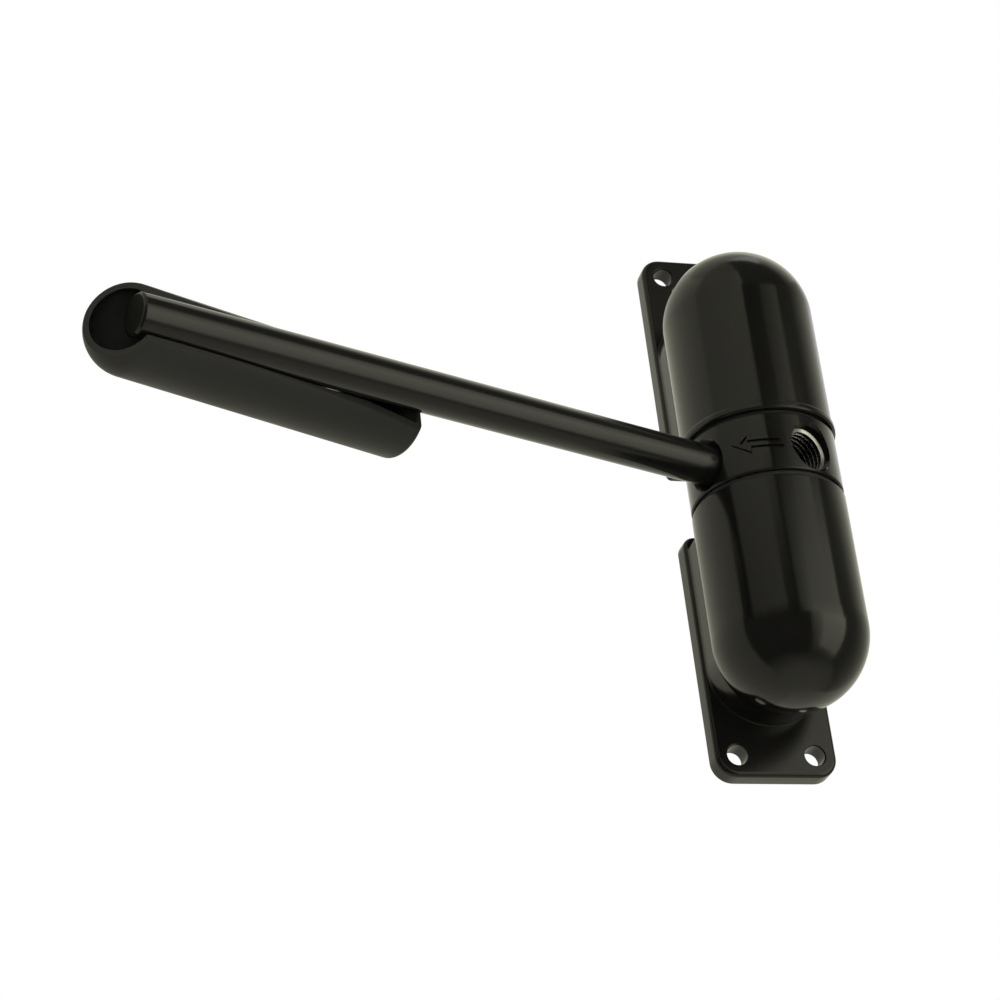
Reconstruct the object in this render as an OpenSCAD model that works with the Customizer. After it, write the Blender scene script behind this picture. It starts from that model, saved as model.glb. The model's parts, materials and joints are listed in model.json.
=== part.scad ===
// Spring door closer: a notched back plate carries a barrel of two domed shells
// with a turning hub between them. An arm is screwed into the hub, and its free
// end runs in a round trough.
// Millimetres. +Z is up along the barrel, -Y is the front, and the origin is the
// middle of the plate's back face.

/* [Back plate] */
// Width of the back plate
plate_w = 31; // [28:0.2:36]
// Height of the back plate
plate_h = 147; // [140:0.2:160]
// Thickness of the back plate
plate_t = 5; // [4:0.2:6]
// Radius of the plate's corners
plate_corner_r = 5.2; // [3:0.2:7]
// Distance between the screw holes across the plate
hole_span_x = 19.8; // [16:0.1:21]
// Distance between the screw holes along the plate
hole_span_z = 136; // [130:0.2:138]
// Diameter of a screw hole
hole_d = 5.2; // [4:0.2:6.4]
// Depth of the notch in each long edge
notch_depth = 7; // [3:0.5:8]
// Height of the notch in each long edge
notch_h = 18.4; // [17:0.2:21]
// Half width of the raised cradle
cradle_r = 14.7; // [12:0.1:15]

/* [Barrel] */
// Distance from the plate's back face to the barrel's axis
axis_out = 24; // [24:0.1:28]
// Outer radius of the shells
shell_r = 18.8; // [17.6:0.1:18.8]
// Wall thickness of the shells
shell_wall = 2.6; // [2:0.1:3]
// Height of the upper dome's centre above the origin
upper_dome_z = 41.2; // [40:0.1:46]
// Depth of the lower dome's centre below the origin
lower_dome_z = 45.6; // [40:0.2:46]
// Height of the bead round the upper shell's rim
bead_h = 1.7; // [1.2:0.1:2.4]
// How far the bead stands out of the shell
bead_out = 0.5; // [0.3:0.1:0.8]

/* [Hub] */
// Height of the hub's middle above the origin
hub_z = -2.8; // [-4:0.1:0]
// Height of the hub
hub_h = 15.6; // [15:0.1:17]
// How much smaller the hub is than the shells, in radius
hub_step = 0.1; // [0.1:0.1:0.8]
// Gap between the hub and the upper shell
upper_gap = 1.0; // [0.6:0.1:1.4]
// Gap between the hub and the lower shell
lower_gap = 1.3; // [0.6:0.1:1.6]
// How far the arm's holes sit below the hub's middle
hole_drop = 0.7; // [0:0.1:1]
// Core diameter of a threaded hole
thread_core_d = 10.2; // [10.2:0.1:10.6]
// Diameter of a threaded hole's countersink
thread_mouth_d = 13.4; // [12:0.2:14]
// Length of the raised arrow
arrow_l = 12.5; // [10:0.5:14]

/* [Arm] */
// Diameter of the arm
arm_d = 10; // [9:0.1:10]
// Length of the arm from the barrel's axis to its free end
arm_reach = 172.4; // [150:0.2:190]
// Angle of the arm in front of the plate's plane, in degrees
arm_angle = 19.8; // [0:0.2:22]
// Chamfer round the arm's free end
arm_chamfer = 0.5; // [0.3:0.1:1.5]

/* [Trough] */
// Outer radius of the trough
trough_r = 10.2; // [9.8:0.1:11]
// Wall thickness of the trough
trough_wall = 1.2; // [1.2:0.1:1.8]
// Length of the trough from its flat end to its nose's centre
trough_l = 72; // [60:0.1:90]
// Distance from the trough's axis to its lips where they stand highest
trough_face = 8.3; // [7.8:0.1:8.6]
// Radius of the bow that the lips are cut to
lip_bow_r = 540; // [400:10:700]
// Distance of the bow's crown from the nose's centre
lip_crown = 31; // [26:1:36]
// Chamfer round the trough's flat end
trough_chamfer = 1.2; // [0.6:0.1:1.6]
// Slope of the trough to the plate's plane, in degrees
trough_angle = 24.2; // [20:0.2:28]
// How far the arm's free end stops short of the nose's centre
trough_nose_gap = 0.2; // [0:0.1:2]
// How far the trough's axis lies behind the arm's free end
trough_set_back = 6.5; // [5.8:0.1:6.8]
// Diameter of the trough's screw holes
trough_hole_d = 4.4; // [3.5:0.1:5]
// Distance between the trough's screw holes
trough_hole_span = 44; // [30:1:50]

/* [Inside the barrel] */
// Diameter of the spindle
spindle_d = 12; // [11:0.1:13]
// Wall of the bushes
bush_wall = 3; // [2.4:0.1:3.4]
// Length of the bushes
bush_l = 9; // [8:0.5:10]
// Thickness of the spring anchors
anchor_t = 7; // [6:0.5:8]
// Diameter of the spring wire
wire_d = 2.8; // [2.2:0.1:3]
// Mean radius of the spring's coil
coil_r = 11.6; // [11:0.1:12]
// Turns in each spring
coil_turns = 7; // [4:1:8]
// Diameter of the pin through the hub and the spindle
cross_pin_d = 3; // [2:0.5:3]
// Diameter of the shell screws
shell_screw_d = 4; // [3:0.5:5]

/* [Hidden] */
$fn = 96;

// Clearances
fit = 0.03;        // running fit of a shaft in a bush, in radius
seat = 0.05;       // between parts that are bolted or pressed together
free = 0.3;        // between parts that move past each other
bite = 0.5;        // how far a cutting solid passes the face that it cuts

// Heights along the barrel
hub_r = shell_r - hub_step;
hub_top = hub_z + hub_h / 2;
hub_bottom = hub_z - hub_h / 2;
arm_z = hub_z - hole_drop;
upper_rim_z = hub_top + upper_gap;
lower_rim_z = hub_bottom - lower_gap;
upper_seat_z = upper_dome_z - anchor_t;
lower_seat_z = anchor_t - lower_dome_z;

// Shells and the cradles that carry them
shell_bore_r = shell_r - shell_wall;
cradle_lip = 0.6;
cradle_front = axis_out - sqrt(shell_r * shell_r - cradle_r * cradle_r) + cradle_lip;
cradle_foot = 0.6;
upper_cradle_z = max(notch_h / 2, upper_rim_z + bead_h + free);
lower_cradle_z = lower_rim_z - free;
notch_corner_r = 2;
notch_chamfer = 2;

// Spindle and what sits on it
spindle_r = spindle_d / 2;
bush_r = spindle_r + fit + bush_wall;
bush_flange_r = bush_r + 0.9;
bush_flange_t = 1.5;
seal_t = 1.2;
clip_t = 1.2;
clip_depth = 1;
clip_out = 2;
clip_from_seat = bush_l - bush_flange_t + free;
spindle_from_seat = clip_from_seat + clip_t + 1.6;

// Springs and their tangs
wire_r = wire_d / 2;
tang_l = 5;
tang_angle = arm_angle + 45;
upper_coil = [hub_top + wire_r + free, upper_seat_z - wire_r - free];
lower_coil = [hub_bottom - wire_r - free, lower_seat_z + wire_r + free];

// Threaded holes of the hub
thread_core_r = thread_core_d / 2;
thread_mouth_r = thread_mouth_d / 2;
thread_floor = 8;
thread_angles = [for (i = [0:3]) 180 + arm_angle + 90 * i];
arrow_middle = 244;
arrow_raise = 0.4;
arrow_line = 0.8;

// Screws through the plate into the shells
screw_r = shell_screw_d / 2;
screw_head_r = 2 * screw_r;
wall_screw_l = axis_out - shell_bore_r + 0.6;
anchor_screw_l = wall_screw_l + 4.4;
screw_inset = 9;
upper_screw_z = [upper_rim_z + screw_inset, upper_seat_z + anchor_t / 2];
lower_screw_z = [lower_rim_z - screw_inset, lower_seat_z - anchor_t / 2];

// Arm and trough
arm_r = arm_d / 2;
arm_root = thread_floor + free;
trough_bore_r = trough_r - trough_wall;
arm_tip_x = -arm_reach * cos(arm_angle);
arm_tip_y = -axis_out - arm_reach * sin(arm_angle);
trough_nose_x = arm_tip_x + trough_nose_gap;
trough_nose_y = arm_tip_y + trough_set_back;
scoop_angle = 54;
scoop_face = 5;
trough_flat = 0.96 * trough_r;

// ---------- shapes that repeat ----------

module on_barrel() {
    translate([0, -axis_out, 0]) children();
}

// Turns what is drawn up from z = 0 to point forwards from a point on the back face
module forwards(x, z) {
    translate([x, 0, z]) rotate([90, 0, 0]) children();
}

// Turns what is drawn up from z = 0 to point out of the barrel's axis
module outwards(angle, z) {
    translate([0, 0, z]) rotate([0, 0, angle]) rotate([0, 90, 0]) children();
}

module ring(outer, inner, h) {
    difference() {
        cylinder(h = h, r = outer);
        translate([0, 0, -bite]) cylinder(h = h + 2 * bite, r = inner);
    }
}

// A bar of length l from z = 0 with a round end
module round_ended(r, l) {
    cylinder(h = l, r = r);
    translate([0, 0, l]) sphere(r);
}

// A shell standing on z = 0 with its dome's centre at height l
module shell(l) {
    difference() {
        round_ended(shell_r, l);
        translate([0, 0, -bite]) round_ended(shell_bore_r, l + bite);
    }
}

// A countersunk screw with its head flush with the back face
module back_screw(z, l, grow = 0) {
    forwards(0, z) {
        cylinder(h = l + grow, r = screw_r + grow);
        translate([0, 0, -grow]) cylinder(h = screw_r + 2 * grow, r1 = screw_head_r + grow, r2 = screw_r);
    }
}

module screw_holes(heights) {
    back_screw(heights[0], wall_screw_l, seat);
    back_screw(heights[1], anchor_screw_l, seat);
}

module screw_pair(heights) {
    back_screw(heights[0], wall_screw_l);
    back_screw(heights[1], anchor_screw_l);
}

// An axial hole at the coil's radius, from z_low to z_high, for a spring's tang
module at_tang(r, z_low, z_high) {
    rotate([0, 0, tang_angle]) translate([coil_r, 0, z_low]) cylinder(h = z_high - z_low, r = r);
}

// ---------- back plate ----------

module plate_outline() {
    r = plate_corner_r;
    difference() {
        union() {
            square([plate_w - 2 * r, plate_h], center = true);
            square([plate_w, plate_h - 2 * r], center = true);
            for (x = [-1, 1], y = [-1, 1])
                translate([x * (plate_w / 2 - r), y * (plate_h / 2 - r)]) circle(r);
        }
        for (x = [-1, 1]) translate([x * plate_w / 2, 0]) notch_outline();
    }
}

// The notch's inner corners are round, and its mouth is chamfered
module notch_outline() {
    c = notch_chamfer;
    polygon([[0, notch_h / 2 + c], [c, notch_h / 2], [c, -notch_h / 2], [0, -notch_h / 2 - c],
             [-c, -notch_h / 2], [-c, notch_h / 2]]);
    square([2 * (notch_depth - notch_corner_r), notch_h], center = true);
    square([2 * notch_depth, notch_h - 2 * notch_corner_r], center = true);
    for (x = [-1, 1], y = [-1, 1])
        translate([x * (notch_depth - notch_corner_r), y * (notch_h / 2 - notch_corner_r)])
            circle(notch_corner_r);
}

module cradle_outline(r, z_start, z_dome) {
    translate([-r, z_start]) square([2 * r, z_dome - z_start]);
    translate([0, z_dome]) circle(r);
}

// A cradle drawn upwards; the lower one is mirrored
module cradle(z_start, z_dome) {
    difference() {
        forwards(0, 0) {
            linear_extrude(cradle_front)
                intersection() {
                    cradle_outline(cradle_r, z_start, z_dome);
                    translate([-plate_w, z_start]) square([2 * plate_w, plate_h]);
                }
            linear_extrude(plate_t + cradle_foot)
                intersection() {
                    cradle_outline(plate_w / 2, z_start, z_dome);
                    translate([-plate_w, z_start]) square([2 * plate_w, plate_h]);
                }
        }
        on_barrel() translate([0, 0, z_start - bite]) round_ended(shell_r + seat, z_dome - z_start + bite);
    }
}

module base_plate() {
    color("#1c1d1f") difference() {
        union() {
            forwards(0, 0) linear_extrude(plate_t) plate_outline();
            cradle(upper_cradle_z, upper_dome_z);
            mirror([0, 0, 1]) cradle(-lower_cradle_z, lower_dome_z);
        }
        for (x = [-1, 1], z = [-1, 1])
            translate([0, bite, 0]) forwards(x * hole_span_x / 2, z * hole_span_z / 2)
                cylinder(h = plate_t + 2 * bite, r = hole_d / 2);
        screw_holes(upper_screw_z);
        screw_holes(lower_screw_z);
    }
}

// ---------- barrel ----------

module upper_shell() {
    color("#222326") difference() {
        on_barrel() {
            translate([0, 0, upper_rim_z]) shell(upper_dome_z - upper_rim_z);
            translate([0, 0, upper_rim_z]) ring(shell_r + bead_out, shell_r - shell_wall / 2, bead_h);
        }
        // the bead is flattened where it meets the plate
        translate([-plate_w, -plate_t - seat, upper_rim_z - bite]) cube([2 * plate_w, plate_t, bead_h + 2 * bite]);
        screw_holes(upper_screw_z);
    }
}

module lower_shell() {
    color("#222326") difference() {
        on_barrel() translate([0, 0, lower_rim_z]) mirror([0, 0, 1]) shell(lower_rim_z + lower_dome_z);
        screw_holes(lower_screw_z);
    }
}

module arrow_outline(l, h, head) {
    polygon([[0, h / 2], [head, h], [head, h / 2 + h / 5], [l, h / 2 + h / 5],
             [l, h / 2 - h / 5], [head, h / 2 - h / 5], [head, 0]]);
}

// The raised outline of an arrow on the hub's face, pointing towards the arm
module arrow() {
    head = 4.4;
    h = 4.6;
    intersection() {
        outwards(arrow_middle, hub_z) rotate([0, 0, 90]) translate([-arrow_l / 2, -h / 2, 0])
            linear_extrude(2 * hub_r) difference() {
                arrow_outline(arrow_l, h, head);
                translate([2 * arrow_line, arrow_line])
                    arrow_outline(arrow_l - 3 * arrow_line, h - 2 * arrow_line, head - 1.5 * arrow_line);
            }
        translate([0, 0, hub_bottom]) ring(hub_r + arrow_raise, hub_r - bite, hub_h);
    }
}

module hub() {
    tang_room = wire_r + 0.2;
    color("#202124") on_barrel() difference() {
        union() {
            translate([0, 0, hub_bottom]) cylinder(h = hub_h, r = hub_r);
            arrow();
        }
        translate([0, 0, hub_bottom - bite]) cylinder(h = hub_h + 2 * bite, r = spindle_r + seat);
        for (a = thread_angles) outwards(a, arm_z) {
            translate([0, 0, thread_floor]) cylinder(h = hub_r, r = thread_core_r);
            translate([0, 0, hub_r - (thread_mouth_r - thread_core_r) - seat])
                cylinder(h = thread_mouth_r, r1 = thread_core_r, r2 = 2 * thread_mouth_r - thread_core_r);
        }
        outwards(tang_angle, hub_z) translate([0, 0, -hub_r + 5]) cylinder(h = 2 * hub_r, r = cross_pin_d / 2 + seat);
        at_tang(tang_room, hub_top - tang_l - free, hub_top + bite);
        at_tang(tang_room, hub_bottom - bite, hub_bottom + tang_l + free);
    }
}

module cross_pin() {
    color("#9a9ca0") on_barrel()
        outwards(tang_angle, hub_z) translate([0, 0, -hub_r + 5 + seat])
            cylinder(h = 2 * hub_r - 7, r = cross_pin_d / 2);
}

// ---------- spindle, bushes and springs ----------

module spindle() {
    top = upper_seat_z + spindle_from_seat;
    bottom = lower_seat_z - spindle_from_seat;
    color("#8f9296") on_barrel() difference() {
        translate([0, 0, bottom]) cylinder(h = top - bottom, r = spindle_r);
        translate([0, 0, upper_seat_z + clip_from_seat - seat])
            ring(spindle_r + bite, spindle_r - clip_depth, clip_t + 2 * seat);
        translate([0, 0, lower_seat_z - clip_from_seat - clip_t - seat])
            ring(spindle_r + bite, spindle_r - clip_depth, clip_t + 2 * seat);
        outwards(tang_angle, hub_z) translate([0, 0, -hub_r]) cylinder(h = 2 * hub_r, r = cross_pin_d / 2 + seat);
    }
}

// What follows is drawn for the upper end, from the seat on the anchor upwards

module bush() {
    translate([0, 0, -bush_flange_t]) {
        ring(bush_r - seat, spindle_r + fit, bush_l);
        ring(bush_flange_r, spindle_r + fit, bush_flange_t - seat);
    }
}

module clip() {
    translate([0, 0, clip_from_seat]) difference() {
        ring(spindle_r + clip_out, spindle_r - clip_depth + seat, clip_t);
        translate([0, -spindle_r / 2, -bite]) cube([2 * spindle_r, spindle_r, clip_t + 2 * bite]);
    }
}

module grease_seal() {
    translate([0, 0, -bush_flange_t - seat - seal_t]) ring(bush_flange_r, spindle_r + fit, seal_t);
}

module at_upper_seat() {
    translate([0, -axis_out, upper_seat_z]) children();
}

module at_lower_seat() {
    translate([0, -axis_out, lower_seat_z]) mirror([0, 0, 1]) children();
}

module upper_bush() {
    color("#b08a4a") at_upper_seat() bush();
}

module lower_bush() {
    color("#b08a4a") at_lower_seat() bush();
}

module upper_grease_seal() {
    color("#3a3a3a") at_upper_seat() grease_seal();
}

module lower_grease_seal() {
    color("#3a3a3a") at_lower_seat() grease_seal();
}

module upper_clip() {
    color("#6f7276") at_upper_seat() clip();
}

module lower_clip() {
    color("#6f7276") at_lower_seat() clip();
}

module upper_anchor() {
    color("#77797d") difference() {
        on_barrel() translate([0, 0, upper_seat_z]) ring(shell_bore_r - seat, bush_r, anchor_t);
        on_barrel() at_tang(wire_r + 0.2, upper_seat_z - bite, upper_seat_z + tang_l + free);
        screw_holes(upper_screw_z);
    }
}

module lower_anchor() {
    color("#77797d") difference() {
        on_barrel() translate([0, 0, lower_seat_z - anchor_t]) ring(shell_bore_r - seat, bush_r, anchor_t);
        on_barrel() at_tang(wire_r + 0.2, lower_seat_z - tang_l - free, lower_seat_z + bite);
        screw_holes(lower_screw_z);
    }
}

// Points round the wire: "along" and "up" say how the ring leans, along the coil and up the axis
function wire_ring(a, z, along, up, sides) = [for (s = [0:sides - 1])
    let (r = coil_r + wire_r * cos(s * 360 / sides), k = wire_r * sin(s * 360 / sides))
    [r * cos(a) - along * k * sin(a), r * sin(a) + along * k * cos(a), z + up * k]];

// A wire that comes straight up, winds round the axis and goes straight up again
module spring(z_start, z_low, z_high, z_end) {
    sides = 8;
    steps = 16;
    count = coil_turns * steps;
    rings = concat(
        [wire_ring(tang_angle, z_start, -1, 0, sides), wire_ring(tang_angle, z_low, -1, 1, sides)],
        [for (i = [1:count - 1])
            wire_ring(tang_angle + i * 360 / steps, z_low + (z_high - z_low) * i / count, 0, 1, sides)],
        [wire_ring(tang_angle, z_high, -1, 1, sides), wire_ring(tang_angle, z_end, -1, 0, sides)]);
    last = len(rings) - 1;
    walls = [for (i = [0:last - 1], s = [0:sides - 1])
        let (a = i * sides + s, b = i * sides + (s + 1) % sides)
        each [[a, b, a + sides], [b, b + sides, a + sides]]];
    caps = [[for (s = [0:sides - 1]) sides - 1 - s], [for (s = [0:sides - 1]) last * sides + s]];
    polyhedron(points = [for (r = rings) each r], faces = concat(walls, caps), convexity = 8);
}

module upper_spring() {
    color("#85888c") on_barrel()
        spring(hub_top - tang_l, upper_coil[0], upper_coil[1], upper_seat_z + tang_l);
}

module lower_spring() {
    color("#85888c") on_barrel()
        spring(lower_seat_z - tang_l, lower_coil[1], lower_coil[0], hub_bottom + tang_l);
}

// The rings fill the gaps between the hub and the shells' rims
module thrust_ring(z_low, z_high) {
    on_barrel() translate([0, 0, z_low + seat])
        ring(hub_r - 3 * free, shell_bore_r + free, z_high - z_low - 2 * seat);
}

module upper_thrust_ring() {
    color("#17181a") thrust_ring(hub_top, upper_rim_z);
}

module lower_thrust_ring() {
    color("#17181a") thrust_ring(lower_rim_z, hub_bottom);
}

module upper_shell_screws() {
    color("#55585c") screw_pair(upper_screw_z);
}

module lower_shell_screws() {
    color("#55585c") screw_pair(lower_screw_z);
}

// ---------- arm and trough ----------

module arm() {
    color("#26272a") on_barrel() outwards(180 + arm_angle, arm_z) {
        translate([0, 0, arm_root]) cylinder(h = arm_reach - arm_root - arm_chamfer, r = arm_r);
        translate([0, 0, arm_reach - arm_chamfer]) cylinder(h = arm_chamfer, r1 = arm_r, r2 = arm_r - arm_chamfer);
    }
}

// The room that the arm takes up as the trough slides along it
module arm_way() {
    on_barrel() outwards(180 + arm_angle, arm_z) {
        cylinder(h = arm_reach, r = arm_r + free);
        translate([-arm_r - free, 0, 0]) cube([2 * (arm_r + free), trough_r, arm_reach]);
    }
}

// The trough's round bar from z = 0, with a chamfered foot and a round end
module trough_body() {
    cylinder(h = trough_chamfer, r1 = trough_r - trough_chamfer, r2 = trough_r);
    translate([0, 0, trough_chamfer]) round_ended(trough_r, trough_l - trough_chamfer);
}

// The trough is drawn along +X from its flat end, open towards -Y, and then turned
module trough() {
    hole_x = (trough_l - trough_hole_span) / 2;
    color("#2b2c2f") difference() {
        translate([trough_nose_x, trough_nose_y, arm_z]) rotate([0, 0, 180 + trough_angle])
        mirror([0, 1, 0]) difference() {
            intersection() {
                translate([-trough_l, 0, 0]) rotate([0, 90, 0]) trough_body();
                // bowed lips
                translate([-lip_crown, lip_bow_r - trough_face, -2 * trough_r])
                    cylinder(h = 4 * trough_r, r = lip_bow_r, $fn = 960);
            }
            translate([-trough_l + trough_wall, 0, 0]) rotate([0, 90, 0])
                round_ended(trough_bore_r, trough_l - trough_wall);
            // flat back and the scoop at the nose
            translate([-trough_l - bite, trough_flat, -trough_r]) cube([trough_l + 2 * trough_r, trough_r, 2 * trough_r]);
            rotate([0, 0, scoop_angle]) translate([-trough_r, -2 * trough_r - scoop_face, -trough_r])
                cube([3 * trough_r, 2 * trough_r, 2 * trough_r]);
            for (i = [0, 1]) translate([-trough_l + hole_x + i * trough_hole_span, 0, 0]) rotate([-90, 0, 0])
                cylinder(h = trough_r, r = trough_hole_d / 2);
        }
        arm_way();
    }
}

base_plate();
upper_shell();
lower_shell();
hub();
arm();
trough();
spindle();
cross_pin();
upper_bush();
lower_bush();
upper_anchor();
lower_anchor();
upper_spring();
lower_spring();
upper_thrust_ring();
lower_thrust_ring();
upper_grease_seal();
lower_grease_seal();
upper_clip();
lower_clip();
upper_shell_screws();
lower_shell_screws();
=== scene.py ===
# %% [markdown]
# # A spring door closer
# A back plate carries a barrel of two domed sleeves. A hub turns between them, an
# arm is screwed into the hub, and the arm's free end runs in a channel on the door.
# The solids come packed from the part's own source. This lesson dresses them: each
# casting is made again with soft edges, and each surface gets its own finish.

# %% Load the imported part
import json
import math

import bmesh
import bpy
from mathutils import Matrix, Vector

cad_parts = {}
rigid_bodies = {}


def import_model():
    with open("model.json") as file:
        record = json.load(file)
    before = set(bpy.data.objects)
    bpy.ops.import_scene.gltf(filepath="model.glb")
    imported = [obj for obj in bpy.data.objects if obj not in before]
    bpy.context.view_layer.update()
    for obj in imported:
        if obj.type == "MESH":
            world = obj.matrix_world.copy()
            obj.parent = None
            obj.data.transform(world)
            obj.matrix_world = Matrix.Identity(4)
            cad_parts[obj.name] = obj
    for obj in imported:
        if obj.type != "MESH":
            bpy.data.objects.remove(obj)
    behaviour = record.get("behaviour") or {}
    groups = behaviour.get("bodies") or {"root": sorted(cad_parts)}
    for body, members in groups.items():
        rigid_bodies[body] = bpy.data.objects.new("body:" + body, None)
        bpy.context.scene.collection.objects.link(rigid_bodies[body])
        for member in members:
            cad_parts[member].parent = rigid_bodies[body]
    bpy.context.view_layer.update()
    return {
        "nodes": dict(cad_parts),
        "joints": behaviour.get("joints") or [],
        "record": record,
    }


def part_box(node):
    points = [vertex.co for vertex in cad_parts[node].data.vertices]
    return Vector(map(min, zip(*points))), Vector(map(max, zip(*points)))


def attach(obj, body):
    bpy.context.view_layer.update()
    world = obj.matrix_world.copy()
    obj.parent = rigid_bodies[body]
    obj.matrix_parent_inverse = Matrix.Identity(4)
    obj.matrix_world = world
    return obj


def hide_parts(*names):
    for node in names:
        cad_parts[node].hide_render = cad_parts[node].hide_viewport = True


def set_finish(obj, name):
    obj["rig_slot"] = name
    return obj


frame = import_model()
mm = 0.001

# %% [markdown]
# ## Where things are
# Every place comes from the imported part: the hinge gives the barrel's axis, the
# mounts give the screw holes and the channel, and the boxes give the heights.
# Only what no box shows, such as a wall or a rounding, is written here.

# %% Read the places
mounts = {m["name"]: m for m in frame["record"]["mounts"]}
joints = {j["name"]: j for j in frame["joints"]}
barrel_axis = Vector(joints["hub_turn"]["pos_m"])
axis_out = -barrel_axis.y
plate_low, plate_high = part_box("base_plate")
upper_low, upper_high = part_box("upper_shell")
lower_low, lower_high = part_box("lower_shell")
hub_low, hub_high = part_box("hub")
sleeve_r = (lower_high.x - lower_low.x) / 2
hub_r = sleeve_r - 0.1 * mm
plate_half = (plate_high.x - plate_low.x) / 2
plate_top = plate_high.z
plate_t = 5 * mm
sleeve_wall = 2.6 * mm
print("barrel radius in mm:", round(sleeve_r / mm, 2), "axis out:", round(axis_out / mm, 2))

# %% [markdown]
# ## A pen for outlines
# Turned and extruded parts both start as an outline. The pen takes corners with a
# rounding each. It extrudes a vertex along the straight parts, and spins it round
# the rounding's centre at the corners, so that every rim gets a true round.

# %% The pen
weld = 2e-7  # points nearer than this become one
touch = 1e-7  # a point this near to a line or a plane lies on it
full_round = 0.9999  # a rounding just short of the full radius keeps its two corners apart
coarse_r = 4 * mm  # a rounding larger than this gets more steps, in proportion


def drawn(corners, steps=6):
    """A closed outline in the plane y = 0 from (x, z, rounding) corners, in metres."""
    bm = bmesh.new()
    tip = None
    for i, (x, z, rounding) in enumerate(corners):
        here = Vector((x, 0, z))
        before = Vector((corners[i - 1][0], 0, corners[i - 1][1])) - here
        after_corner = corners[(i + 1) % len(corners)]
        after = Vector((after_corner[0], 0, after_corner[1])) - here
        start = here
        if rounding:
            before.normalize()
            after.normalize()
            turn = math.pi - before.angle(after)
            start = here + before * rounding * math.tan(turn / 2)
            centre = here + (before + after).normalized() * rounding / math.cos(turn / 2)
        if tip is None:
            tip = bm.verts.new(start)
        else:
            tip = bmesh.ops.extrude_vert_indiv(bm, verts=[tip])["verts"][0]
            tip.co = start
        if rounding:
            axis = (start - centre).cross(here - centre).normalized()
            count = max(steps, round(steps * rounding / coarse_r))
            out = bmesh.ops.spin(bm, geom=[tip], cent=centre, axis=axis, angle=turn, steps=count,
                                 use_merge=False, use_duplicate=False)
            tip = [g for g in out["geom_last"] if isinstance(g, bmesh.types.BMVert)][0]
    bm.verts.ensure_lookup_table()
    if tip.co != bm.verts[0].co:
        bm.edges.new((tip, bm.verts[0]))
    bmesh.ops.remove_doubles(bm, verts=bm.verts, dist=weld)
    return bm


# %% [markdown]
# ## Lathe, press and file
# A lathe spins an outline about Z. A press fills it and extrudes it along Y. A file
# is a boolean that takes one shape out of another, or joins two. These three make
# every casting here, as the real ones are cast round the same simple shapes.

# %% Lathe and press
def settled(bm, name, place=None):
    """Closes the mesh, turns its faces outwards and makes it an object."""
    if place:
        bmesh.ops.transform(bm, matrix=place, verts=bm.verts)
    bmesh.ops.remove_doubles(bm, verts=bm.verts, dist=weld)
    bmesh.ops.dissolve_degenerate(bm, edges=bm.edges, dist=touch)
    bmesh.ops.recalc_face_normals(bm, faces=bm.faces)
    if bm.calc_volume(signed=True) < 0:
        bmesh.ops.reverse_faces(bm, faces=bm.faces)
    mesh = bpy.data.meshes.new(name)
    bm.to_mesh(mesh)
    bm.free()
    piece = bpy.data.objects.new(name, mesh)
    bpy.context.scene.collection.objects.link(piece)
    return piece


def turned(name, corners, steps=128, place=None, rounds=6):
    """A lathed solid: the outline's x is the radius."""
    bm = drawn(corners, rounds)
    on_axis = [e for e in bm.edges if all(abs(v.co.x) < touch for v in e.verts)]
    bmesh.ops.delete(bm, geom=on_axis, context="EDGES")
    bmesh.ops.spin(bm, geom=bm.verts[:] + bm.edges[:], cent=(0, 0, 0), axis=(0, 0, 1),
                   angle=2 * math.pi, steps=steps, use_merge=True, use_duplicate=False)
    return settled(bm, name, place)


def pressed(name, corners, back, front, rim=0.0, back_rim=0.0, place=None):
    """An outline filled and extruded from y = -back to y = -front, with rounded rims."""
    bm = drawn(corners, 8)
    bmesh.ops.translate(bm, vec=(0, -back, 0), verts=bm.verts)
    face = bmesh.ops.contextual_create(bm, geom=bm.edges[:])["faces"][0]
    far = bmesh.ops.extrude_face_region(bm, geom=[face], use_keep_orig=True)["geom"]
    far = [g for g in far if isinstance(g, bmesh.types.BMVert)]
    bmesh.ops.translate(bm, vec=(0, back - front, 0), verts=far)
    for offset, y in ((rim, -front), (back_rim, -back)):
        if offset:
            edges = [e for e in bm.edges if all(abs(v.co.y - y) < touch for v in e.verts)]
            bmesh.ops.bevel(bm, geom=edges, offset=offset, offset_type="OFFSET", segments=4,
                            profile=0.5, affect="EDGES", clamp_overlap=True, material=-1)
    return settled(bm, name, place)


# %% The file
def at(x, y, z):
    """A move without a turn."""
    return Matrix.Translation((x, y, z))


def filed(piece, tool, how="DIFFERENCE"):
    """Cuts a tool out of a piece, joins it or keeps what they share, and puts the tool away."""
    change = piece.modifiers.new("file", "BOOLEAN")
    change.operation = how
    change.solver = "EXACT"
    change.object = tool
    evaluated = piece.evaluated_get(bpy.context.evaluated_depsgraph_get())
    shaped = bpy.data.meshes.new_from_object(evaluated)
    piece.modifiers.clear()
    old, piece.data = piece.data, shaped
    bpy.data.meshes.remove(old)
    tool_mesh = tool.data
    bpy.data.objects.remove(tool)
    bpy.data.meshes.remove(tool_mesh)
    return piece


def smooth(piece, degrees=32):
    """Smooth faces, with an edge kept wherever the surface turns by more than this."""
    mesh = piece.data
    mesh.shade_smooth()
    mesh.set_sharp_from_angle(angle=math.radians(degrees))
    weights = piece.modifiers.new("even shading", "WEIGHTED_NORMAL")
    weights.keep_sharp = True
    weights.weight = 100
    return piece


def fitted(piece, body, slot, *nodes):
    """Gives a finished piece its body, its finish's slot and the solids it stands for."""
    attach(piece, body)
    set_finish(piece, slot)
    if nodes:
        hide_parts(*nodes)
    print(piece.name, len(piece.data.polygons), "faces")
    return piece


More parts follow.
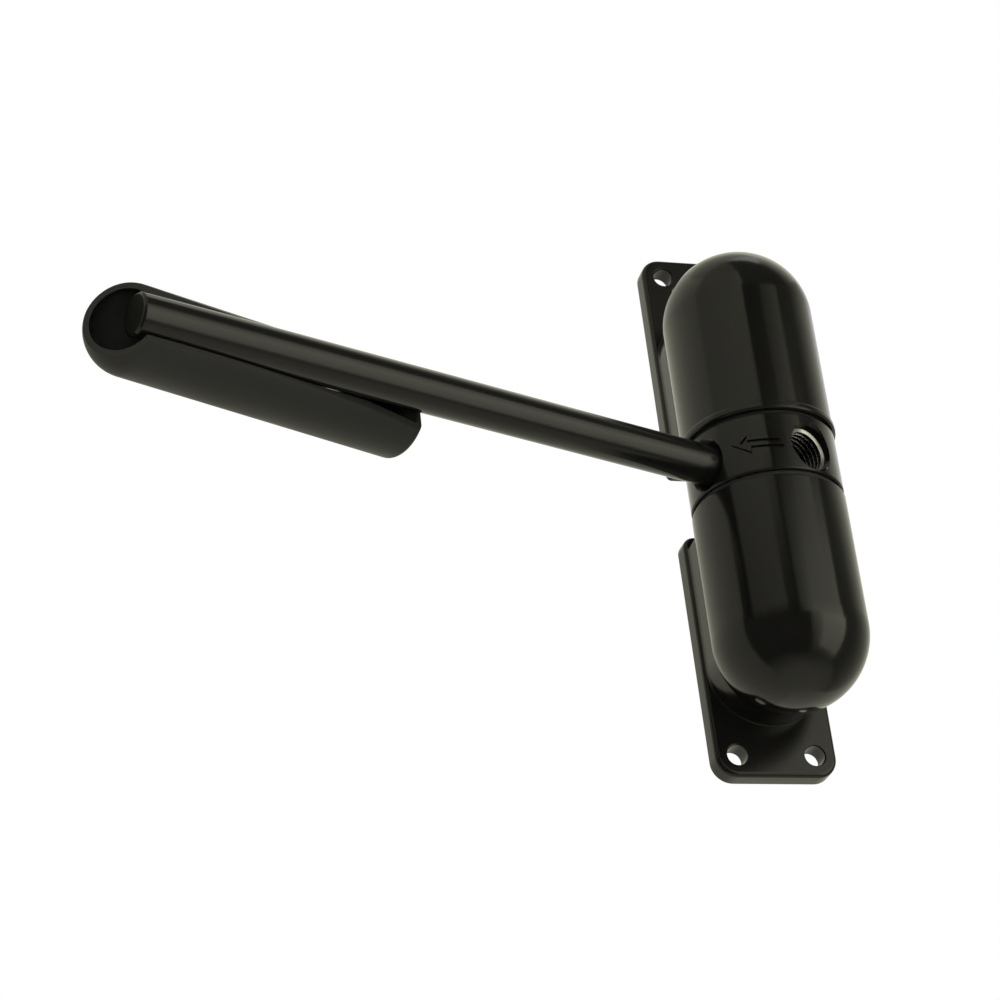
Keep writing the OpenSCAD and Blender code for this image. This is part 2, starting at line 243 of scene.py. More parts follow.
# %% [markdown]
# ## The back plate
# The plate is one casting: a flat plate with a notch in each long edge, and two
# raised cradles that the sleeves lie in. The plate and the cradles are pressed
# shapes, joined, and then the sleeves' round form and the holes are filed out.

# %% The flat plate
notch_z = 9.2 * mm
notch_in = plate_half - 7 * mm
corner_r = 5.2 * mm
notch_foot_r, notch_head_r, notch_in_r = 3 * mm, 1.3 * mm, 2 * mm
back_plate = pressed("back_plate", [
    (-plate_half, -plate_top, corner_r), (plate_half, -plate_top, corner_r),
    (plate_half, -notch_z, notch_foot_r), (notch_in, -notch_z, notch_in_r),
    (notch_in, notch_z, notch_in_r), (plate_half, notch_z, notch_head_r),
    (plate_half, plate_top, corner_r), (-plate_half, plate_top, corner_r),
    (-plate_half, notch_z, notch_head_r), (-notch_in, notch_z, notch_in_r),
    (-notch_in, -notch_z, notch_in_r), (-plate_half, -notch_z, notch_foot_r)],
    0, plate_t, rim=1.1 * mm, back_rim=0.3 * mm)

# %% [markdown]
# ## The cradles
# A cradle's foot runs into the plate with a small fillet. Insetting the top face in
# steps, each a little deeper than the last, draws that fillet all the way round.

# %% Cradles
def cradle(name, start, dome, front):
    """A raised pad from height start to the dome's centre height, with a round end."""
    foot, wall = plate_half - 0.55 * mm, plate_half - 0.8 * mm
    end = dome + math.copysign(foot, dome)
    corner, end_round = 1.2 * mm, foot * 0.999
    corners = [(-foot, start, corner), (foot, start, corner), (foot, end, end_round), (-foot, end, end_round)]
    if start < 0:
        corners.reverse()
    bm = drawn(corners, 12)
    sunk, proud, fillet, parts = 2 * mm, 0.02 * mm, 0.9 * mm, 5
    bmesh.ops.translate(bm, vec=(0, -sunk, 0), verts=bm.verts)
    face = bmesh.ops.contextual_create(bm, geom=bm.edges[:])["faces"][0]
    quarter = [i * math.pi / 2 / parts for i in range(parts + 1)]
    steps = [(0, plate_t - sunk + proud)]
    for a, b in zip(quarter, quarter[1:]):
        steps.append(((foot - wall) * (math.sin(b) - math.sin(a)), fillet * (math.cos(a) - math.cos(b))))
    steps.append((0, front - plate_t - fillet - proud))
    top = face
    for inward, up in steps:
        if inward:
            bmesh.ops.inset_region(bm, faces=[top], thickness=inward, use_even_offset=True,
                                   use_boundary=True)
        else:
            under = top
            out = bmesh.ops.extrude_face_region(bm, geom=[under], use_keep_orig=True)["geom"]
            top = [g for g in out if isinstance(g, bmesh.types.BMFace)][0]
            if under is not face:
                bmesh.ops.delete(bm, geom=[under], context="FACES_ONLY")
        bmesh.ops.translate(bm, vec=(0, -up, 0), verts=top.verts)
    return settled(bm, name)


upper_dome = upper_high.z - sleeve_r
lower_dome = lower_low.z + sleeve_r
cradle_front = -plate_low.y
for start, dome in ((notch_z + 0.03 * mm, upper_dome), (lower_high.z - 0.3 * mm, lower_dome)):
    filed(back_plate, cradle("cradle", start, dome, cradle_front), "UNION")

# %% Room for the sleeves
def sleeve_room(start, dome, r):
    """A round-ended bar that fills a sleeve's place, from start past the dome's centre."""
    end = dome + math.copysign(r, dome)
    corners = [(0, start, 0), (r, start, 0), (r, end, r * full_round), (0, end, 0)]
    return turned("room", corners, 160, at(0, -axis_out, 0), 12)


sleeve_gap = 0.05 * mm
filed(back_plate, sleeve_room(0, upper_dome, sleeve_r + sleeve_gap))
filed(back_plate, sleeve_room(0, lower_dome, sleeve_r + sleeve_gap))

# %% Screw holes
along_y = Matrix.Rotation(math.radians(90), 4, "X")
holes = mounts["plate_screws"]["dims"]
hole_r = holes["hole_r_mm"] * mm
hole_rim, rim_z = 0.35 * mm, plate_t + 0.01 * mm
hole_outline = [(0, -mm, 0), (hole_r, -mm, 0), (hole_r, rim_z, hole_rim), (2 * hole_r, rim_z, 0),
                (2 * hole_r, 2 * plate_t, 0), (0, 2 * plate_t, 0)]
for side in (-1, 1):
    for height in (-1, 1):
        place = at(side * holes["spacing_x_mm"] * mm / 2, 0, height * holes["spacing_y_mm"] * mm / 2)
        filed(back_plate, turned("hole", hole_outline, 48, place @ along_y))

# %% [markdown]
# Four screws come through the back to hold the sleeves. Their heads lie flush in
# countersunk seats, so each seat is filed a little wider than its screw.

# %% Seats for the sleeves' screws
shell_screw_r, shell_screw_head_r = 2 * mm, 4 * mm
seat_gap = 0.1 * mm


def screw_heights(node):
    """Each screw of the pair, as its height and its length, from the solid's own points."""
    points = [v.co for v in frame["nodes"][node].data.vertices]
    low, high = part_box(node)
    middle = (low.z + high.z) / 2
    return [((min(p.z for p in part) + max(p.z for p in part)) / 2, -min(p.y for p in part))
            for part in ([p for p in points if p.z < middle], [p for p in points if p.z > middle])]


seat_r, seat_head_r = shell_screw_r + seat_gap, shell_screw_head_r + seat_gap
seat_outline = [(0, -mm, 0), (seat_head_r, -mm, 0), (seat_head_r, seat_gap, 0),
                (seat_r, seat_head_r - seat_r + seat_gap, 0), (seat_r, 3 * plate_t, 0), (0, 3 * plate_t, 0)]
for end in ("upper", "lower"):
    for z, _ in screw_heights(end + "_shell_screws"):
        filed(back_plate, turned("seat", seat_outline, 48, at(0, 0, z) @ along_y))
smooth(back_plate)
fitted(back_plate, "base", "enamel_plate", "base_plate")

# %% [markdown]
# ## The sleeves
# Both sleeves are lathed: a straight wall that runs into a half ball. The upper one
# has a bead round its rim, which hides the gap above the hub.

# %% Lathe the sleeves
def sleeve(name, rim, dome, bead=0.0):
    """A domed sleeve from its rim height to its dome, with an optional bead at the rim."""
    up = math.copysign(1, dome)
    length, wall = abs(dome - rim), sleeve_r - sleeve_wall
    soft, crisp = 0.5 * mm, 0.3 * mm
    bead_r, bead_foot = sleeve_r + 0.5 * mm, 0.35 * mm
    if bead:
        rim_part = [(bead_r, 0, soft), (bead_r, bead, soft), (sleeve_r, bead + bead_foot, crisp)]
    else:
        rim_part = [(sleeve_r, 0, soft)]
    corners = [(wall, 0, crisp)] + rim_part + [
        (sleeve_r, length + sleeve_r, sleeve_r * full_round), (0, length + sleeve_r, 0),
        (0, length + wall, 0), (wall, length + wall, wall * full_round)]
    place = at(0, -axis_out, rim) @ Matrix.Diagonal((1, 1, up, 1))
    return smooth(turned(name, corners, 160, place, 9))


bead_h = 1.7 * mm
upper_sleeve = sleeve("upper_sleeve", upper_low.z, upper_dome, bead_h)
fitted(upper_sleeve, "base", "enamel_barrel", "upper_shell")
lower_sleeve = sleeve("lower_sleeve", lower_high.z, lower_dome)
fitted(lower_sleeve, "base", "enamel_barrel", "lower_shell")

# %% [markdown]
# ## The hub
# The hub is a ring with four holes for the arm, a quarter turn apart. One holds the
# arm and the others show their threads. Each face has a small hole for a spring's
# end. The raised arrow says which way it turns.

# %% Turn the hub and file its holes
hub_mid = (hub_low.z + hub_high.z) / 2
hub_half = (hub_high.z - hub_low.z) / 2
hub_bore_r, bore_rim, hub_rim = 6.05 * mm, 0.2 * mm, 0.5 * mm
hub_ring = turned("hub_ring", [
    (hub_bore_r, -hub_half, bore_rim), (hub_r, -hub_half, hub_rim),
    (hub_r, hub_half, hub_rim), (hub_bore_r, hub_half, bore_rim)], 256, at(0, -axis_out, hub_mid))
front_hole = mounts["front_arm_hole"]
front_axis = Vector(front_hole["axis"])
front_angle = math.atan2(front_axis.y, front_axis.x)
arm_angle = front_angle - math.pi / 2
arm_z = front_hole["pos_m"][2]
core_r = front_hole["dims"]["r_mm"] * mm
thread_r = core_r + 0.9 * mm


def outwards(angle):
    """Turns what stands on z = 0 to point out of the barrel's axis at the arm's height."""
    return (at(0, -axis_out, arm_z) @ Matrix.Rotation(angle, 4, "Z")
            @ Matrix.Rotation(math.radians(90), 4, "Y"))


bore_start, mouth_r, mouth_rim, past = 8 * mm, 6.8 * mm, 0.2 * mm, 3 * mm
for quarter in range(4):
    bore = core_r if quarter == 3 else thread_r
    filed(hub_ring, turned("bore", [
        (0, bore_start, 0), (bore, bore_start, 0), (bore, hub_r - (mouth_r - bore), mouth_rim),
        (mouth_r + past, hub_r + past, 0), (0, hub_r + past, 0)], 64,
        outwards(front_angle + quarter * math.pi / 2)))
tang_angle = arm_angle + math.radians(225)
tang_out, tang_r, tang_deep = 11.6 * mm, 1.6 * mm, 5.3 * mm
for low, high in ((hub_low.z - mm, hub_low.z + tang_deep), (hub_high.z - tang_deep, hub_high.z + mm)):
    room = at(tang_out * math.cos(tang_angle), tang_out * math.sin(tang_angle) - axis_out, 0)
    filed(hub_ring, turned("tang_room", [(0, low, 0), (tang_r, low, 0), (tang_r, high, 0), (0, high, 0)],
                           32, room))
smooth(hub_ring)
fitted(hub_ring, "hub", "enamel_barrel", "hub")

# %% [markdown]
# ## The threads
# A spin that also moves along its axis draws a helix. A blunt triangle spun that way,
# one pitch for each turn, leaves the ridge of a screw thread on the hole's wall.

# %% Spin the threads
def thread(name, angle, low, high, pitch=1.3 * mm):
    """The ridge of a thread on a hole's wall, between two distances from the barrel's axis."""
    bm = bmesh.new()
    wall, crest = thread_r + 0.12 * mm, core_r + 0.15 * mm
    outline = ((wall, 0), (crest, 0.28), (crest, 0.36), (wall, 0.64))
    face = bm.faces.new([bm.verts.new((r, 0, low + share * pitch)) for r, share in outline])
    turns, steps = int((high - low) / pitch - 1), 48
    bmesh.ops.spin(bm, geom=[face], cent=(0, 0, 0), axis=(0, 0, 1), angle=2 * math.pi * turns,
                   dvec=(0, 0, pitch / steps), steps=steps * turns, use_merge=False, use_duplicate=False)
    return smooth(settled(bm, name, outwards(angle)), 40)


thread_start, thread_end = bore_start + 0.1 * mm, hub_r - 1.4 * mm
for quarter, side in enumerate(("front", "right", "back")):
    ridge = thread(side + "_hole_thread", front_angle + quarter * math.pi / 2, thread_start, thread_end)
    fitted(ridge, "hub", "steel_shaft")

# %% [markdown]
# ## The arrow
# The arrow is a raised outline on the hub's face. A flat arrow is inset and hollowed,
# pushed through the hub, and only what lies in a thin skin round the hub is kept.

# %% Raise the arrow
arrow_l, head_l, head_half, shaft_half = 12.5 * mm, 4.6 * mm, 2.7 * mm, 1.15 * mm
arrow_line, arrow_sunk, arrow_raise = 0.9 * mm, 0.5 * mm, 0.6 * mm
arrow_angle, arrow_tilt = math.radians(246), math.radians(4)


def arrow_shape(inset):
    """The arrow's outline, drawn in by an even line's width at its edges, shaft and tip."""
    h, s = head_half - inset, shaft_half - inset * 0.7
    tip, neck, tail = -arrow_l / 2 + inset * 2.1, -arrow_l / 2 + head_l - inset, arrow_l / 2 - inset
    return [(tip, 0, 0), (neck, -h, 0), (neck, -s, 0), (tail, -s, 0), (tail, s, 0), (neck, s, 0),
            (neck, h, 0)]


facing = (at(0, -axis_out, hub_mid) @ Matrix.Rotation(arrow_angle + math.pi / 2, 4, "Z")
          @ Matrix.Rotation(arrow_tilt, 4, "Y"))
arrow = pressed("hub_arrow", arrow_shape(0), hub_r - 3 * mm, hub_r + 2 * mm, place=facing)
filed(arrow, pressed("inside", arrow_shape(arrow_line), hub_r - 4 * mm, hub_r + 3 * mm, place=facing))
skin_in, skin_out, skin_half = hub_r - arrow_sunk, hub_r + arrow_raise, 4 * mm
skin = turned("skin", [(skin_in, -skin_half, 0), (skin_out, -skin_half, 0), (skin_out, skin_half, 0),
                       (skin_in, skin_half, 0)], 256, at(0, -axis_out, hub_mid))
filed(arrow, skin, "INTERSECT")
smooth(arrow)
fitted(arrow, "hub", "enamel_barrel")

# %% [markdown]
# ## The arm
# The arm is a plain round bar. Its free end has a chamfer, and its root is screwed
# into the hub. The bar was sawn off, so a thin disc gives its end face a dull finish.

# %% Turn the arm
arm_r, arm_root, arm_reach = 5 * mm, 8.3 * mm, 172.4 * mm
chamfer, root_rim, chamfer_rim = 0.5 * mm, 0.3 * mm, 0.15 * mm
arm_bar = turned("arm_bar", [
    (0, arm_root, 0), (arm_r, arm_root, root_rim), (arm_r, arm_reach - chamfer, chamfer_rim),
    (arm_r - chamfer, arm_reach, chamfer_rim), (0, arm_reach, 0)], 96, outwards(arm_angle))
smooth(arm_bar, 25)
fitted(arm_bar, "hub", "enamel_arm", "arm")
sawn_r, sawn_back, sawn_front = arm_r - 0.7 * mm, arm_reach - 0.1 * mm, arm_reach + 0.02 * mm
arm_end = turned("arm_end", [(0, sawn_back, 0), (sawn_r, sawn_back, 0), (sawn_r, sawn_front, 0),
                             (0, sawn_front, 0)], 64, outwards(arm_angle))
fitted(smooth(arm_end, 25), "hub", "rubber")

# %% [markdown]
# ## The channel on the door
# The channel is a round tube with a ball nose, cut open along its front by a large
# round, so that its lips are bowed, and cut back with a slant at the nose. Its back is
# filed flat for the door, and has two screw holes. A way is filed for the arm.

# %% Turn and file the channel
channel_back = mounts["trough_back"]
across = Vector(channel_back["axis"])
channel_r, channel_wall, channel_l = 10.2 * mm, 1.2 * mm, 72 * mm
lip_out, lip_crown, bow_r = 8.3 * mm, 31 * mm, 540 * mm
end_rim, inner_rim = 1.5 * mm, 0.6 * mm
scoop_angle, scoop_deep = math.radians(-54), 5 * mm
way_start, way_gap = 40 * mm, 0.3 * mm
flat_out = 0.96 * channel_r
turn_z = math.atan2(-across.x, across.y)
along = Vector((math.cos(turn_z), math.sin(turn_z), 0))
nose = Vector(channel_back["pos_m"]) - along * channel_l / 2 - across * flat_out
channel_place = at(*nose) @ Matrix.Rotation(turn_z, 4, "Z")
lying = channel_place @ Matrix.Rotation(math.radians(90), 4, "Y")


def block(low, high, place):
    """A cutting block between two corners."""
    bm = bmesh.new()
    middle, size = (Vector(low) + Vector(high)) / 2, Vector(high) - Vector(low)
    bmesh.ops.create_cube(bm, size=1, matrix=at(*middle) @ Matrix.Diagonal((*size, 1)))
    return settled(bm, "block", place)


far = 3 * channel_r
channel = turned("door_channel", [
    (0, channel_l, 0), (channel_r, channel_l, end_rim),
    (channel_r, -channel_r, channel_r * full_round), (0, -channel_r, 0)], 128, lying, 12)
bow = turned("bow", [(0, -far, 0), (bow_r, -far, 0), (bow_r, far, 0), (0, far, 0)], 960,
             channel_place @ at(lip_crown, bow_r - lip_out, 0))
filed(channel, bow, "INTERSECT")
bore_r, bore_l = channel_r - channel_wall, channel_l - channel_wall
filed(channel, turned("bore", [
    (0, bore_l, 0), (bore_r, bore_l, inner_rim),
    (bore_r, -bore_r, bore_r * full_round), (0, -bore_r, 0)], 128, lying, 12))
filed(channel, block((-far, flat_out, -far), (channel_l + far, far, far), channel_place))
scoop = channel_place @ Matrix.Rotation(scoop_angle, 4, "Z")
filed(channel, block((-2 * far, -far, -far), (channel_r, -scoop_deep, far), scoop))
way_r = arm_r + way_gap
filed(channel, turned("way", [(0, way_start, 0), (way_r, way_start, 0), (way_r, arm_reach, 0),
                              (0, arm_reach, 0)], 96, outwards(arm_angle)))
filed(channel, block((-way_r, 0, way_start), (way_r, channel_r, arm_reach), outwards(arm_angle)))
drill_out, drill_l = 2 * mm, 6 * mm
for name in ("trough_hole_near", "trough_hole_far"):
    drill_r = mounts[name]["dims"]["r_mm"] * mm
    spot = channel_place.inverted() @ Vector(mounts[name]["pos_m"])
    filed(channel, turned("hole", [(0, 0, 0), (drill_r, 0, 0), (drill_r, drill_l, 0), (0, drill_l, 0)],
                          40, channel_place @ at(spot.x, flat_out + drill_out, 0) @ along_y))
smooth(channel)
fitted(channel, "trough", "enamel_trough", "trough")

# %% [markdown]
# ## Screws in the back
# The sleeves are held by countersunk screws through the plate's back. Each gets a
# cross recess, filed with two crossed blocks.

# %% Countersunk screws
def shell_screws(name, node, heights):
    """A pair of countersunk screws with their heads flush with the back face."""
    shank, head_r = shell_screw_r, shell_screw_head_r
    inset, head_rim, neck_rim, tip_rim = 0.05 * mm, 0.15 * mm, 0.2 * mm, 0.3 * mm
    cross_half, cross_width, cross_deep = 2 * mm, 0.45 * mm, 1.3 * mm
    pair = None
    for z, length in heights:
        place = at(0, 0, z) @ along_y
        screw = turned(name, [
            (0, inset, 0), (head_r - 2 * inset, inset, head_rim), (shank, head_r - shank, neck_rim),
            (shank, length, tip_rim), (0, length, 0)], 40, place)
        for turn in (20, 110):
            cross = place @ Matrix.Rotation(math.radians(turn), 4, "Z")
            filed(screw, block((-cross_half, -cross_width, -mm), (cross_half, cross_width, cross_deep),
                               cross))
        pair = screw if pair is None else filed(pair, screw, "UNION")
    smooth(pair)
    return fitted(pair, "base", "steel_screw", node)


for end in ("upper", "lower"):
    shell_screws(end + "_screws", end + "_shell_screws", screw_heights(end + "_shell_screws"))

# %% [markdown]
# ## Finishes
# Every finish is worked out from Object coordinates, so it stays on the part when
# the part moves. Node groups hold what several finishes share: the slow waviness of
# thick enamel, fine grain, and turned lines.

# %% Node groups
def new_group(name, inputs, outputs):
    """A shader node group with named sockets: colours where the default is a tuple, else floats."""
    group = bpy.data.node_groups.new(name, "ShaderNodeTree")
    for words, sockets in (("INPUT", inputs), ("OUTPUT", outputs)):
        for label, default in sockets.items():
            kind = "NodeSocketColor" if isinstance(default, tuple) else "NodeSocketFloat"
            socket = group.interface.new_socket(label, in_out=words, socket_type=kind)
            if words == "INPUT":
                socket.default_value = default
    return group, group.nodes.new("NodeGroupInput"), group.nodes.new("NodeGroupOutput")


def node(tree, kind, settings=None, **links):
    """Adds a node with its settings, and sets or links its sockets, named by word or as i0, i1."""
    n = tree.nodes.new(kind)
    for key, value in (settings or {}).items():
        setattr(n, key, value)
    for key, value in links.items():
        key = key.replace("_", " ")
        socket = n.inputs[int(key[1:])] if key[0] == "i" and key[1:].isdigit() else n.inputs[key]
        if isinstance(value, bpy.types.NodeSocket):
            tree.links.new(value, socket)
        else:
            socket.default_value = value
    return n


def maths(tree, operation, first, second):
    """A Math node of two inputs."""
    return node(tree, "ShaderNodeMath", {"operation": operation}, i0=first, i1=second)


def enamel_group():
    """Thick enamel over a casting: slow waves, orange peel and a few dust specks."""
    g, i, o = new_group("enamel_coat", {
        "Peel Scale": 500.0, "Wave Scale": 60.0, "Peel Depth": 0.3, "Wave Depth": 1.0,
        "Base Roughness": 0.1, "Speck Amount": 0.02, "Colour": (0.02, 0.02, 0.02, 1)},
        {"Color": (0, 0, 0, 1), "Roughness": 0.1, "Height": 0.0})
    where = node(g, "ShaderNodeTexCoord").outputs["Object"]
    peel = node(g, "ShaderNodeTexNoise", Vector=where, Scale=i.outputs["Peel Scale"],
                Detail=2.0, Roughness=0.5)
    wave = node(g, "ShaderNodeTexNoise", Vector=where, Scale=i.outputs["Wave Scale"],
                Detail=2.0, Roughness=0.4)
    peel_h = maths(g, "MULTIPLY", peel.outputs["Fac"], i.outputs["Peel Depth"])
    wave_h = maths(g, "MULTIPLY", wave.outputs["Fac"], i.outputs["Wave Depth"])
    both = maths(g, "ADD", peel_h.outputs[0], wave_h.outputs[0])
    dust = node(g, "ShaderNodeTexVoronoi", {"feature": "F1"}, Vector=where, Scale=420.0, Randomness=1.0)
    speck = node(g, "ShaderNodeMapRange", Value=dust.outputs["Distance"], From_Min=0.07, From_Max=0.03,
                 To_Min=0.0, To_Max=1.0)
    chance = maths(g, "LESS_THAN", dust.outputs["Color"], i.outputs["Speck Amount"])
    seen = maths(g, "MULTIPLY", speck.outputs[0], chance.outputs[0])
    tone = node(g, "ShaderNodeMix", {"data_type": "RGBA"})
    g.links.new(seen.outputs[0], tone.inputs["Factor"])
    g.links.new(i.outputs["Colour"], tone.inputs[6])
    tone.inputs[7].default_value = (0.22, 0.22, 0.21, 1)
    rub = node(g, "ShaderNodeMapRange", Value=wave.outputs["Fac"], From_Min=0.3, From_Max=0.7,
               To_Min=-0.02, To_Max=0.04)
    rough = maths(g, "ADD", i.outputs["Base Roughness"], rub.outputs[0])
    g.links.new(tone.outputs[2], o.inputs["Color"])
    g.links.new(rough.outputs[0], o.inputs["Roughness"])
    g.links.new(both.outputs[0], o.inputs["Height"])
    return g


def metal_group():
    """Bare metal: fine grain, and faint lines turned round Z or left by a die."""
    g, i, o = new_group("bare_metal", {
        "Grain Scale": 900.0, "Line Scale": 2200.0, "Line Depth": 0.3, "Base Roughness": 0.3,
        "Light": (0.6, 0.6, 0.6, 1), "Dark": (0.3, 0.3, 0.3, 1)},
        {"Color": (0, 0, 0, 1), "Roughness": 0.3, "Height": 0.0})
    where = node(g, "ShaderNodeTexCoord").outputs["Object"]
    parts = node(g, "ShaderNodeSeparateXYZ", Vector=where)
    lines = node(g, "ShaderNodeTexNoise", {"noise_dimensions": "1D"}, W=parts.outputs["Z"],
                 Scale=i.outputs["Line Scale"], Detail=3.0)
    grain = node(g, "ShaderNodeTexNoise", Vector=where, Scale=i.outputs["Grain Scale"],
                 Detail=4.0, Roughness=0.6)
    blotch = node(g, "ShaderNodeTexNoise", Vector=where, Scale=90.0, Detail=3.0)
    shade = node(g, "ShaderNodeMapRange", Value=blotch.outputs["Fac"], From_Min=0.35, From_Max=0.65)
    tone = node(g, "ShaderNodeMix", {"data_type": "RGBA"})
    g.links.new(shade.outputs[0], tone.inputs["Factor"])
    g.links.new(i.outputs["Dark"], tone.inputs[6])
    g.links.new(i.outputs["Light"], tone.inputs[7])
    worn = node(g, "ShaderNodeMapRange", Value=grain.outputs["Fac"], From_Min=0.3, From_Max=0.7,
                To_Min=-0.06, To_Max=0.1)
    rough = maths(g, "ADD", i.outputs["Base Roughness"], worn.outputs[0])
    line_h = maths(g, "MULTIPLY", lines.outputs["Fac"], i.outputs["Line Depth"])
    high = maths(g, "ADD", line_h.outputs[0], grain.outputs["Fac"])
    g.links.new(tone.outputs[2], o.inputs["Color"])
    g.links.new(rough.outputs[0], o.inputs["Roughness"])
    g.links.new(high.outputs[0], o.inputs["Height"])
    return g


coat, bare = enamel_group(), metal_group()

# %% [markdown]
# ## Materials
# The shader itself stays in each material. Its plain numbers, such as Metallic, are
# set on its own sockets, and the group feeds its colour, roughness and bump. There is
# one recipe for each slot, and each piece and each inner solid gets its slot's finish.

# %% Build the materials
def finish(name, group, bump, shader, values):
    """A material: the group with its values, a bump of a strength and a depth, and the shader."""
    material = bpy.data.materials.new(name)
    material.use_nodes = True
    tree = material.node_tree
    tree.nodes.clear()
    surface = tree.nodes.new("ShaderNodeGroup")
    surface.node_tree = group
    for label, value in values.items():
        surface.inputs[label].default_value = value
    relief = node(tree, "ShaderNodeBump", Strength=bump[0], Distance=bump[1],
                  Height=surface.outputs["Height"])
    principled = node(tree, "ShaderNodeBsdfPrincipled", Base_Color=surface.outputs["Color"],
                      Roughness=surface.outputs["Roughness"], Normal=relief.outputs["Normal"], **shader)
    node(tree, "ShaderNodeOutputMaterial", Surface=principled.outputs[0])
    return material


def coated(colour, rough, shine=0.5, bump=(0.5, 0.05 * mm)):
    """The recipe of a smooth coat in one colour."""
    return coat, bump, {"Specular_IOR_Level": shine}, {"Colour": (*colour, 1), "Base Roughness": rough}


def polished(light, dark, rough, bump=(0.3, 0.02 * mm), lines=0.3):
    """The recipe of bare metal between a light and a dark tone."""
    return bare, bump, {"Metallic": 1.0}, {"Light": (*light, 1), "Dark": (*dark, 1),
                                           "Base Roughness": rough, "Line Depth": lines}


recipes = {
    "enamel_plate": coated((0.0072, 0.0070, 0.0057), 0.18),
    "enamel_barrel": coated((0.0062, 0.0060, 0.0049), 0.13),
    "enamel_arm": coated((0.0080, 0.0078, 0.0064), 0.17, bump=(0.5, 0.03 * mm)),
    "enamel_trough": coated((0.0290, 0.0284, 0.0242), 0.4, shine=0.25, bump=(0.6, 0.05 * mm)),
    "steel_shaft": polished((0.66, 0.65, 0.63), (0.42, 0.41, 0.40), 0.26),
    "steel_spring": polished((0.34, 0.34, 0.35), (0.18, 0.18, 0.19), 0.36),
    "steel_screw": polished((0.30, 0.30, 0.31), (0.16, 0.16, 0.17), 0.34),
    "iron_anchor": polished((0.24, 0.24, 0.25), (0.12, 0.12, 0.12), 0.5, bump=(0.8, 0.06 * mm), lines=0.0),
    "bronze": polished((0.62, 0.42, 0.20), (0.40, 0.26, 0.11), 0.3),
    "nylon": coated((0.02, 0.02, 0.02), 0.45, shine=0.4, bump=(0.3, 0.03 * mm)),
    "rubber": coated((0.008, 0.008, 0.007), 0.6, shine=0.06, bump=(0.3, 0.03 * mm)),
}
materials = {name: finish(name, *recipe) for name, recipe in recipes.items()}
slot_of = {s["node"]: s["material_slot"] for s in frame["record"]["subparts"]}
for name, solid in frame["nodes"].items():
    solid.data.materials.clear()
    solid.data.materials.append(materials[slot_of[name]])
for piece in bpy.context.scene.objects:
    if piece.type == "MESH" and "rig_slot" in piece:
        piece.data.materials.clear()
        piece.data.materials.append(materials[piece["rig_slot"]])

# %% [markdown]
# ## The camera
# The closer is seen from the front left and from below, with a long lens.

# %% Camera
camera_place = (-0.23939, -0.54875, -0.30953)
camera_data = bpy.data.cameras.new("camera")
camera_data.lens = 95.733
camera_data.clip_start = 0.01
camera = bpy.data.objects.new("camera", camera_data)
bpy.context.scene.collection.objects.link(camera)
right = Vector((0.96118, -0.25657, -0.10149)).normalized()
forward = Vector((0.27344, 0.83656, 0.47476)).normalized()
up = right.cross(forward)
aim = Matrix((right, up, -forward)).transposed().to_4x4()
camera.matrix_world = at(*camera_place) @ aim
bpy.context.scene.camera = camera

# %% [markdown]
# ## Floor, world and lamps
# The world is white where the camera, glossy and glass rays meet it, and plain grey
# light for the rest. The floor lies below, and doesn't show in the enamel.

# %% Stage
floor_z, floor_half = -0.42, 3
bm = bmesh.new()
bmesh.ops.create_grid(bm, x_segments=1, y_segments=1, size=floor_half)
bmesh.ops.translate(bm, vec=(0, 0, floor_z), verts=bm.verts)
floor_mesh = bpy.data.meshes.new("floor")
bm.to_mesh(floor_mesh)
bm.free()
floor = bpy.data.objects.new("floor", floor_mesh)
bpy.context.scene.collection.objects.link(floor)
pale = bpy.data.materials.new("pale_floor")
pale.use_nodes = True
pale_sockets = pale.node_tree.nodes["Principled BSDF"].inputs
pale_sockets["Base Color"].default_value = (0.82, 0.82, 0.82, 1)
pale_sockets["Roughness"].default_value = 0.9
floor.data.materials.append(pale)
floor.visible_glossy = False

world = bpy.data.worlds.new("studio")
bpy.context.scene.world = world
world.use_nodes = True
sky = world.node_tree
sky.nodes.clear()
rays = node(sky, "ShaderNodeLightPath")
seen = maths(sky, "MAXIMUM", rays.outputs["Is Camera Ray"], rays.outputs["Is Transmission Ray"])
seen = maths(sky, "MAXIMUM", seen.outputs[0], rays.outputs["Is Glossy Ray"])
dim = node(sky, "ShaderNodeBackground", Color=(1, 1, 1, 1), Strength=0.35)
white = node(sky, "ShaderNodeBackground", Color=(1, 1, 1, 1), Strength=1.0)
mixed = node(sky, "ShaderNodeMixShader", i0=seen.outputs[0], i1=dim.outputs[0], i2=white.outputs[0])
node(sky, "ShaderNodeOutputWorld", Surface=mixed.outputs[0])

# %% [markdown]
# ## Boards
# Black gloss shows whatever stands round it, so glowing boards stand all round the
# barrel, where only reflections meet them. Their tones are painted light and shade,
# standing in for a lit room. Each is a curved patch, given by two compass angles
# and two angles above the horizon, and its tone runs evenly from one end to the other
# and from its foot to its head.

# %% Boards
board_away, board_step = 3.0, 3
board_tint = (1.08, 1.06, 0.86)


